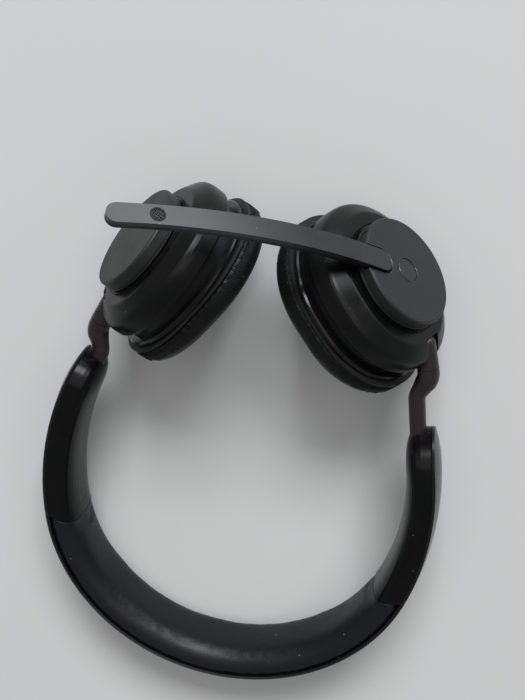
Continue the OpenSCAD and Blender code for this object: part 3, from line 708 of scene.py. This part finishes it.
# press the face flat, and fold the cover where it is drawn in behind the outer wall
def drawIn(mesh):
    c = cushionSize
    co = pointsOf(mesh)
    past = co[:, 2] < c["face"]
    co[past, 2] = c["face"] + (co[past, 2] - c["face"]) * c["pressBack"]
    ox = np.clip(co[:, 0], -c["offset"], c["offset"])
    radial = np.hypot(co[:, 0] - ox, co[:, 1])
    angle = np.arctan2(co[:, 1], co[:, 0] - ox)
    around = (angle * c["ribRadius"] + ox / mm * np.sign(-np.sin(angle))) * c["ribs"]
    wallStart, wallWidth = c["wall"]
    drawnStart, drawnEnd = c["drawn"]
    wall = np.clip((radial - wallStart) / wallWidth, 0, 1)
    depth = (c["base"] - co[:, 2]) / mm
    pulled = wall * np.clip(1 - depth / drawnEnd, 0, 1) * np.clip(depth / drawnStart, 0, 1)
    folds = np.sin(around * 0.5 + 1.7 * np.sin(angle * 5)) * (0.5 + 0.5 * np.sin(angle * 3 + 1.0))
    away = np.stack([(co[:, 0] - ox), co[:, 1]], 1) / np.maximum(radial, 1e-9)[:, None]
    co[:, :2] += away * (folds * pulled * c["foldPush"])[:, None]
    movePoints(mesh, co)
    setFloats(mesh, "around", around)
    setFloats(mesh, "pulled", pulled)


def makeCushion(side):
    steps = cushionSize["steps"]
    rings = [[(*ovalPoint(r, k / steps), z) for r, z in cushionSection()] for k in range(steps)]
    mesh = loftRings(side + "CushionForm", rings, closed=True)
    mesh = swell(mesh, side + "Cushion", cushionSize, holdSeat)
    drawIn(mesh)
    return finishPadded(side + "EarCushion", mesh, cupFrame[side], "cushionHide", side + "_cup",
                        side + "_cushion")


cushions = {side: makeCushion(side) for side in sides}
say("ear cushions made")


padSize = {
    "steps": 120,
    "sideSteps": 22,          # points round the folded side of the section
    "edge": 2.6,              # squareness of the folded sides
    "inset": 0.1 * mm,        # each side's step in from the shell's edge
    "sink": 0.05 * mm,        # the seat's step into the shell
    "start": 0.5 * mm,        # how far in from the centre line the folds start
    "swellRoom": 0.9 * mm,    # what the form leaves for the swelling
    "straight": 0.8,          # share of the pad that keeps square rings, before the slanted ends
    "voxel": 1.8 * mm,
    "pressure": 3.0,
    "cap": 0.7 * mm,
    "heldSeat": (0.5 * mm, 1.5 * mm),
    "heldEnds": (1.6 * mm, 1.0 * mm),
    "clear": 0.22 * mm,       # the pad's end from the sleeve
    "hollow": (1.3 * mm, 0.6 * mm, 0.15 * mm),    # behind the rolled end: place, width and depth
    "wave": (0.12 * mm, 9.0, 0.12),     # slow waves in the foam: height, and turns round and across
    "waveFade": 8 * mm,
    "innerOver": 2 * mm,
    "fill": 0.7,
}


# height in from the centre line, and place across, round the pad's section
def padSection():
    p = padSize
    w = bandSize["width"] / 2 - p["inset"]
    d = bandSize["depth"] - p["swellRoom"]
    s = bandSize["split"] - p["sink"]
    points = [(s, -w), (s, -w * 0.5), (s, 0.0), (s, w * 0.5), (s, w)]
    for i in range(p["sideSteps"] + 1):
        a = math.pi * i / p["sideSteps"]
        c, q = math.cos(a), math.sin(a)
        e = 2 / p["edge"]
        points.append((-p["start"] - d * q ** e, w * math.copysign(abs(c) ** e, c)))
    return points


# how far each point is from the pad's slanted end, and its radius and angle from the crown
def alongPad(points):
    radius = np.hypot(points[:, 0], points[:, 1])
    turn = np.abs(np.arctan2(points[:, 0], -points[:, 1]))
    fromEnd = (padEnd(radius - bandSize["crownR"], padSize["clear"]) - turn) * bandSize["crownR"]
    return fromEnd, radius, turn


def holdPad(points):
    fromEnd, radius, _ = alongPad(points)
    seatStart, seatOver = padSize["heldSeat"]
    endStart, endOver = padSize["heldEnds"]
    seat = np.clip((radius - bandSize["crownR"] - seatStart) / seatOver, 0, 1)
    return np.maximum(seat, np.clip((endStart - fromEnd) / endOver, 0, 1))


def settleFoam(mesh):
    p = padSize
    co = pointsOf(mesh)
    fromEnd, radius, turn = alongPad(co)
    inner = np.clip((bandSize["crownR"] - radius) / p["innerOver"], 0, 1)
    place, width, depth = p["hollow"]
    high, around, across = p["wave"]
    hollow = np.exp(-((fromEnd - place) / width) ** 2) * depth
    wave = high * np.sin(turn * around + co[:, 2] / mm * across) * np.clip(fromEnd / p["waveFade"], 0, 1)
    co[:, :2] += co[:, :2] / radius[:, None] * ((hollow + wave) * inner)[:, None]
    movePoints(mesh, co)


def makePad():
    p = padSize
    crown = bandSize["crownR"]
    middle = float(padEnd(0.0, p["clear"]))
    rings = []
    for k in range(p["steps"] + 1):
        u = 2 * k / p["steps"] - 1
        near = max(0.0, (abs(u) - p["straight"]) / (1 - p["straight"]))
        near = near * near * (3 - 2 * near)
        ring = []
        for r, z in padSection():
            lean = float(padEnd(r, p["clear"])) - middle
            a = -math.pi / 2 + u * middle + math.copysign(near * lean, u)
            ring.append(((crown + r) * math.cos(a), (crown + r) * math.sin(a), z))
        rings.append(ring)
    mesh = loftRings("padForm", rings, closed=False)
    mesh = swell(mesh, "bandPad", p, holdPad)
    settleFoam(mesh)
    return finishPadded("headbandPad", mesh, bandFrame, "padHide", "band", "band_pad")


makePad()
say("headband pad made")


def newTree(name, ins):
    return newGroup(name, [("Geometry", "NodeSocketGeometry", None)] + ins,
                    [("Geometry", "NodeSocketGeometry")], "GeometryNodeTree")


# every tree ends in plain geometry with its finish on
def endTree(t, i, o, geometry, smooth=True):
    real = addNode(t, "GeometryNodeRealizeInstances", 200)
    wire(t, geometry, real.inputs[0])
    last = real.outputs[0]
    if smooth:
        even = addNode(t, "GeometryNodeSetShadeSmooth", 400)
        wire(t, last, even.inputs[0])
        last = even.outputs[0]
    dress = addNode(t, "GeometryNodeSetMaterial", 600)
    wire(t, last, dress.inputs["Geometry"])
    wire(t, i.outputs["Finish"], dress.inputs["Material"])
    wire(t, dress.outputs[0], o.inputs["Geometry"])
    return t


# run a tree on a source object, and keep only the plain mesh that comes out
def runTree(name, tree, source, values):
    mod = source.modifiers.new(name, "NODES")
    mod.node_group = tree
    for item in tree.interface.items_tree:
        if item.item_type == "SOCKET" and item.in_out == "INPUT" and item.name in values:
            mod[item.identifier] = values[item.name]
    mesh = evaluatedMesh(source)
    source.modifiers.remove(mod)
    bpy.data.objects.remove(source)
    return mesh


def pathObject(name, points, closed=True):
    mesh = bpy.data.meshes.new(name)
    n = len(points)
    edges = [(i, (i + 1) % n) for i in range(n if closed else n - 1)]
    mesh.from_pydata([tuple(p) for p in points], edges, [])
    return linkMesh(name, mesh)


def finishTrim(name, mesh, body):
    obj = linkMesh(name, mesh)
    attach(obj, body)
    return obj


# a rounded bead that follows a path
def makeBeadTree():
    t, i, o = newTree("beadAlongPath", [("Radius", "NodeSocketFloat", 0.4 * mm),
                                        ("Sides", "NodeSocketInt", 8),
                                        ("Spacing", "NodeSocketFloat", 1.0 * mm),
                                        ("Finish", "NodeSocketMaterial", None)])
    curve = addNode(t, "GeometryNodeMeshToCurve", -700)
    even = addNode(t, "GeometryNodeResampleCurve", -500, mode="LENGTH")
    ring = addNode(t, "GeometryNodeCurvePrimitiveCircle", -500, -300)
    tube = addNode(t, "GeometryNodeCurveToMesh", -200)
    wire(t, i.outputs["Geometry"], curve.inputs[0])
    wire(t, curve.outputs[0], even.inputs["Curve"])
    wire(t, i.outputs["Spacing"], even.inputs["Length"])
    wire(t, i.outputs["Sides"], ring.inputs["Resolution"])
    wire(t, i.outputs["Radius"], ring.inputs["Radius"])
    wire(t, even.outputs[0], tube.inputs["Curve"])
    wire(t, ring.outputs[0], tube.inputs["Profile Curve"])
    return endTree(t, i, o, tube.outputs[0])


# narrow pleats side by side along a seam that lies flat in XY; they run along Z
def makePleatTree():
    t, i, o = newTree("pleatsAlongSeam", [("Pitch", "NodeSocketFloat", 0.85 * mm),
                                          ("Width", "NodeSocketFloat", 0.7 * mm),
                                          ("Height", "NodeSocketFloat", 0.4 * mm),
                                          ("Length", "NodeSocketFloat", 4.5 * mm),
                                          ("Vary", "NodeSocketFloat", 0.3),
                                          ("Seed", "NodeSocketInt", 3),
                                          ("Finish", "NodeSocketMaterial", None)])
    curve = addNode(t, "GeometryNodeMeshToCurve", -900, 200)
    spots = addNode(t, "GeometryNodeCurveToPoints", -700, 200, mode="LENGTH")
    wire(t, i.outputs["Geometry"], curve.inputs[0])
    wire(t, curve.outputs[0], spots.inputs["Curve"])
    wire(t, i.outputs["Pitch"], spots.inputs["Length"])
    turn = addNode(t, "FunctionNodeAlignRotationToVector", -450, -50, axis="X", pivot_axis="Z")
    wire(t, spots.outputs["Tangent"], turn.inputs["Vector"])
    ridge = addNode(t, "GeometryNodeMeshUVSphere", -700, -250)
    for label, value in (("Segments", 8), ("Rings", 6), ("Radius", 0.5)):
        ridge.inputs[label].default_value = value
    some = addNode(t, "FunctionNodeRandomValue", -900, -450, data_type="FLOAT")
    wire(t, mathNode(t, "SUBTRACT", 1.0, i.outputs["Vary"], -1100, -450), some.inputs[2])
    wire(t, mathNode(t, "ADD", 1.0, i.outputs["Vary"], -1100, -600), some.inputs[3])
    wire(t, i.outputs["Seed"], some.inputs["Seed"])
    size = addNode(t, "ShaderNodeCombineXYZ", -450, -350)
    long = mathNode(t, "MULTIPLY", i.outputs["Length"], some.outputs[1], -700, -500)
    for value, socket in zip((i.outputs["Width"], i.outputs["Height"], long), size.inputs):
        wire(t, value, socket)
    lay = addNode(t, "GeometryNodeInstanceOnPoints", -150, 100)
    wire(t, spots.outputs["Points"], lay.inputs["Points"])
    wire(t, ridge.outputs["Mesh"], lay.inputs["Instance"])
    wire(t, turn.outputs[0], lay.inputs["Rotation"])
    wire(t, size.outputs[0], lay.inputs["Scale"])
    return endTree(t, i, o, lay.outputs[0])


# crossed wires inside a round port
def makeGauzeTree():
    t, i, o = newTree("roundGauze", [("Radius", "NodeSocketFloat", 2.0 * mm),
                                     ("Pitch", "NodeSocketFloat", 0.5 * mm),
                                     ("Wire", "NodeSocketFloat", 0.08 * mm),
                                     ("Pieces", "NodeSocketInt", 9),
                                     ("Finish", "NodeSocketMaterial", None)])
    grid = addNode(t, "GeometryNodeMeshGrid", -700)
    span = mathNode(t, "MULTIPLY", i.outputs["Radius"], 2.0, -900, 200)
    count = mathNode(t, "ADD", mathNode(t, "DIVIDE", span, i.outputs["Pitch"], -1100, 0), 1.0, -900, 0)
    for axis in "XY":
        wire(t, span, grid.inputs["Size " + axis])
        wire(t, count, grid.inputs["Vertices " + axis])
    where = addNode(t, "GeometryNodeInputPosition", -900, -300)
    length = addNode(t, "ShaderNodeVectorMath", -700, -300, operation="LENGTH")
    wire(t, where.outputs[0], length.inputs[0])
    outside = addNode(t, "FunctionNodeCompare", -500, -300, data_type="FLOAT", operation="GREATER_THAN")
    wire(t, length.outputs["Value"], outside.inputs[0])
    wire(t, i.outputs["Radius"], outside.inputs[1])
    lines = addNode(t, "GeometryNodeMeshToCurve", -500, 100)
    fine = addNode(t, "GeometryNodeResampleCurve", -300, 100, mode="COUNT")
    trim = addNode(t, "GeometryNodeDeleteGeometry", -100, 0, domain="POINT")
    wire(t, grid.outputs["Mesh"], lines.inputs[0])
    wire(t, lines.outputs[0], fine.inputs["Curve"])
    wire(t, i.outputs["Pieces"], fine.inputs["Count"])
    wire(t, fine.outputs[0], trim.inputs["Geometry"])
    wire(t, outside.outputs[0], trim.inputs["Selection"])
    ring = addNode(t, "GeometryNodeCurvePrimitiveCircle", -100, -250)
    ring.inputs["Resolution"].default_value = 6
    wire(t, i.outputs["Wire"], ring.inputs["Radius"])
    tube = addNode(t, "GeometryNodeCurveToMesh", 50, 0)
    wire(t, trim.outputs[0], tube.inputs["Curve"])
    wire(t, ring.outputs[0], tube.inputs["Profile Curve"])
    return endTree(t, i, o, tube.outputs[0], smooth=False)


beadTree = makeBeadTree()
pleatTree = makePleatTree()
gauzeTree = makeGauzeTree()
say("geometry node trees built")


def makeBead(name, points, radius, spacing, finish, body, closed=True):
    mesh = runTree("bead", beadTree, pathObject(name + "Path", points, closed),
                   {"Radius": radius, "Sides": 8, "Spacing": spacing, "Finish": finishes[finish]})
    return finishTrim(name, mesh, body)


weltSize = {
    "radius": 0.42 * mm,
    "at": 29.4 * mm,          # where the cover is tucked under
    "below": -26.35 * mm,
    "steps": 160,
    "spacing": 1.2 * mm,
}


def makeWelt(side):
    w = weltSize
    points = [cupFrame[side] @ Vector((*ovalPoint(w["at"], k / w["steps"]), w["below"]))
              for k in range(w["steps"])]
    return makeBead(side + "CushionWelt", points, w["radius"], w["spacing"], "cushionHide",
                    side + "_cup")


pleatSize = {
    "down": 3.0 * mm,         # middle of the pleats below the seam
    "sunk": 0.06 * mm,        # their middle line under the cover's surface
    "pitch": 0.86 * mm,
    "width": 0.62 * mm,
    "height": 0.34 * mm,
    "length": 4.6 * mm,
    "vary": 0.35,
    "steps": 200,
    "rays": (45 * mm, 20 * mm),      # from outside the cover towards the middle of the ring
    "seed": {"left": 5, "right": 9},
}


# where the cover is drawn in at its seam it stands in fine pleats
def makePleats(side):
    p = pleatSize
    cover = BVHTree.FromObject(cushions[side], bpy.context.evaluated_depsgraph_get())
    toCup = cupFrame[side].inverted()
    z = cushionSize["base"] - p["down"]
    path = []
    for k in range(p["steps"]):
        start, goal = (cupFrame[side] @ Vector((*ovalPoint(r, k / p["steps"]), z)) for r in p["rays"])
        inward = (goal - start).normalized()
        hit = cover.ray_cast(start, inward)[0]
        if hit is not None:
            path.append(toCup @ (hit + inward * p["sunk"]))
    mesh = runTree("pleats", pleatTree, pathObject(side + "PleatPath", path),
                   {"Pitch": p["pitch"], "Width": p["width"], "Height": p["height"], "Length": p["length"],
                    "Vary": p["vary"], "Seed": p["seed"][side], "Finish": finishes["cushionHide"]})
    mesh.transform(cupFrame[side])
    return finishTrim(side + "CushionPleats", mesh, side + "_cup")


rollSize = {
    "radius": 0.3 * mm,
    "spacing": 0.8 * mm,
    "fromEnd": 0.42 * mm,
    "proud": 0.05 * mm,
    "sunk": 0.4,              # share of the radius below the cover
    "sideSkip": 1.2 * mm,     # the roll stays this far in from the shell
    "heart": 2.5 * mm,        # middle of the section, from which the roll stands out
}


# the cover is rolled over at each end of the pad
def makePadRoll(side, sign):
    s = rollSize
    points = []
    for r, z in padSection()[5:]:
        if r > bandSize["split"] - s["sideSkip"]:
            continue
        a = -math.pi / 2 + sign * float(padEnd(r, s["fromEnd"]))
        out = Vector((r + s["heart"], z, 0)).normalized() * (s["proud"] - s["radius"] * s["sunk"])
        away = bandSize["crownR"] + r + out.x
        points.append(bandFrame @ Vector((away * math.cos(a), away * math.sin(a), z + out.y)))
    return makeBead(side + "PadRoll", points, s["radius"], s["spacing"], "padHide", "band",
                    closed=False)


for side in sides:
    makeWelt(side)
for side in sides:
    makePleats(side)
for side, sign in (("left", -1), ("right", 1)):
    makePadRoll(side, sign)
say("welts, pleats and rolled ends made")


def middleOf(nodeName):
    low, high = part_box(nodeName)
    return (low + high) / 2


gauzeSize = {
    "radius": 1.95 * mm,
    "pitch": 0.95 * mm,
    "wire": 0.15 * mm,
    "pieces": 9,              # each wire's points
    "lift": 0.2 * mm,
}


# lies on the grille, square to its thinnest direction
def makeGauze():
    s = gauzeSize
    points = pointsOf(frame["nodes"]["mic_grille"].data)
    up = Vector(np.linalg.svd(points - points.mean(0))[2][2])
    if up.dot(cupFrame["right"].col[2].to_3d()) < 0:
        up = -up
    across = up.cross(Vector((0, 0, 1))).normalized()
    place = matrixOf(across, up.cross(across), up, middleOf("mic_grille") + up * s["lift"])
    mesh = runTree("gauze", gauzeTree, linkMesh("gauzeSeed", bpy.data.meshes.new("gauzeSeed")),
                   {"Radius": s["radius"], "Pitch": s["pitch"], "Wire": s["wire"], "Pieces": s["pieces"],
                    "Finish": finishes["boomSatin"]})
    mesh.transform(place)
    return finishTrim("micGauze", mesh, "boom")


makeGauze()

# on the hub: a near-black bead sunk round the boom's root, which paints the shadow in the gap there, and thin lips
# round the seat and the button
hubTrimSize = {
    "rootCentre": 13.6 * mm,  # centre of the boom's round root end, from the hub's axis
    "rootHalf": 4.1 * mm,
    "turnSteps": 40,
    "spacing": 0.4 * mm,
    # a near-black bead sunk in the seat's margin: a painted shadow in the gap round the root
    "Seal": {"out": 0.62 * mm, "radius": 0.36 * mm, "z": -0.42 * mm, "reach": 20.1 * mm,
             "finish": "sealRubber"},
    "Lip": {"out": 1.2 * mm, "radius": 0.26 * mm, "z": -0.04 * mm, "reach": 19.7 * mm,
            "finish": "lipPolish"},
    "button": {"at": 4.78 * mm, "radius": 0.2 * mm, "steps": 72},
}


# as the right cup's frame, with +X along the boom
def hubPlace():
    cup = cupFrame["right"]
    along = cup.inverted() @ middleOf("mic_grille")
    return cup @ Matrix.Rotation(math.atan2(along.y, along.x), 4, "Z")


def seatPath(out, z, reach):
    h = hubTrimSize["rootHalf"] + out
    centre = hubTrimSize["rootCentre"]
    turn = [(centre - h * math.sin(a), h * math.cos(a))
            for a in np.linspace(0, math.pi, hubTrimSize["turnSteps"])]
    return [Vector((x, y, z)) for x, y in [(reach, h)] + turn + [(reach, -h)]]


def makeHubTrim():
    h = hubTrimSize
    place = hubPlace()
    for part in ("Seal", "Lip"):
        p = h[part]
        points = [place @ q for q in seatPath(p["out"], p["z"], p["reach"])]
        makeBead("boomSeat" + part, points, p["radius"], h["spacing"], p["finish"], "boom",
                 closed=False)
    b = h["button"]
    ring = [place @ Vector((b["at"] * math.cos(a), b["at"] * math.sin(a), 0))
            for a in np.linspace(0, 2 * math.pi, b["steps"], endpoint=False)]
    makeBead("buttonLip", ring, b["radius"], h["spacing"], "lipPolish", "boom")


makeHubTrim()
say("gauze and hub trim made")


tableSize = {
    "half": 3.0,
    "colour": (0.62, 0.625, 0.62),
    "cloud": (0.98, 1.02),
    "cloudScale": 5.0,
    "rough": 0.6,
    "shine": 0.2,
}


def makeTable():
    s = tableSize
    h = s["half"]
    mesh = bpy.data.meshes.new("table")
    mesh.from_pydata([(-h, -h, 0), (h, -h, 0), (h, h, 0), (-h, h, 0)], [], [(0, 1, 2, 3)])
    obj = linkMesh("table", mesh)
    m, t, b, where = startFinish("tableTop")
    cloud = noiseNode(t, where, s["cloudScale"], 2.0, 0.5, -800, 0)
    low, high = (tone(s["colour"], c) for c in s["cloud"])
    wire(t, colourMix(t, cloud.outputs["Fac"], low, high, -400, 200), b.inputs["Base Color"])
    b.inputs["Roughness"].default_value = s["rough"]
    b.inputs["Specular IOR Level"].default_value = s["shine"]
    obj.data.materials.append(m)
    return obj


def areaLight(name, place, target, size, power, colour):
    data = bpy.data.lights.new(name, "AREA")
    data.shape = "RECTANGLE"
    data.size, data.size_y = size
    data.energy = power
    data.color = colour
    obj = bpy.data.objects.new(name, data)
    scene.collection.objects.link(obj)
    obj.location = place
    obj.rotation_euler = (Vector(target) - Vector(place)).to_track_quat("-Z", "Y").to_euler()
    return obj


lightSet = {
    "windowLight": {"place": (0.0, 4.1, 3.5), "target": (0, 0.03, 0), "size": (2.6, 1.7), "power": 268,
                    "colour": (0.96, 0.98, 1.0)},
    "sillLight": {"place": (0.7, 2.0, 0.37), "target": (0, 0.05, 0.05), "size": (2.2, 0.7), "power": 26,
                  "colour": (0.93, 0.97, 1.0)},
    "fillLight": {"place": (0.1, 0.6, 2.0), "target": (0, 0, 0), "size": (2.4, 1.4), "power": 12,
                  "colour": (1.0, 0.99, 0.97)},
}
table = makeTable()
lights = {name: areaLight(name, **values) for name, values in lightSet.items()}

# the low light would burn out the table in front of it, so the table is left out of it
spared = bpy.data.collections.new("sparedByTheSill")
spared.objects.link(table)
spared.collection_objects[0].light_linking.link_state = "EXCLUDE"
lights["sillLight"].light_linking.receiver_collection = spared

roomSet = {"colour": (0.82, 0.84, 0.86), "onObject": 0.22, "asSeen": 0.42}


# the room is seen, mirrored and looked through brighter than it lights
def makeRoom():
    world = bpy.data.worlds.new("room")
    scene.world = world
    world.use_nodes = True
    t = world.node_tree
    back = t.nodes["Background"]
    back.inputs["Color"].default_value = (*roomSet["colour"], 1)
    path = addNode(t, "ShaderNodeLightPath", -900)
    mirrored = mathNode(t, "MAXIMUM", path.outputs["Is Glossy Ray"], path.outputs["Is Transmission Ray"],
                        -650, -150)
    seen = mathNode(t, "MAXIMUM", path.outputs["Is Camera Ray"], mirrored, -450)
    wire(t, spread(t, seen, roomSet["onObject"], roomSet["asSeen"], -250), back.inputs["Strength"])


makeRoom()

cameraSet = {
    "place": (0.02571, 0.150448, 0.415586),
    "turn": (-14.6371, 7.048, 11.1587),    # degrees about X, Y and Z
    "lens": 54.02,
    "sensor": 36.0,
    "clip": (0.01, 20.0),
}
camData = bpy.data.cameras.new("viewpoint")
camData.lens = cameraSet["lens"]
camData.sensor_width = cameraSet["sensor"]
camData.clip_start, camData.clip_end = cameraSet["clip"]
camera = bpy.data.objects.new("viewpoint", camData)
scene.collection.objects.link(camera)
camera.location = cameraSet["place"]
camera.rotation_euler = tuple(math.radians(a) for a in cameraSet["turn"])
scene.camera = camera
scene.view_settings.view_transform = "Standard"

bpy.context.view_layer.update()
say("table, lights, room and camera set")
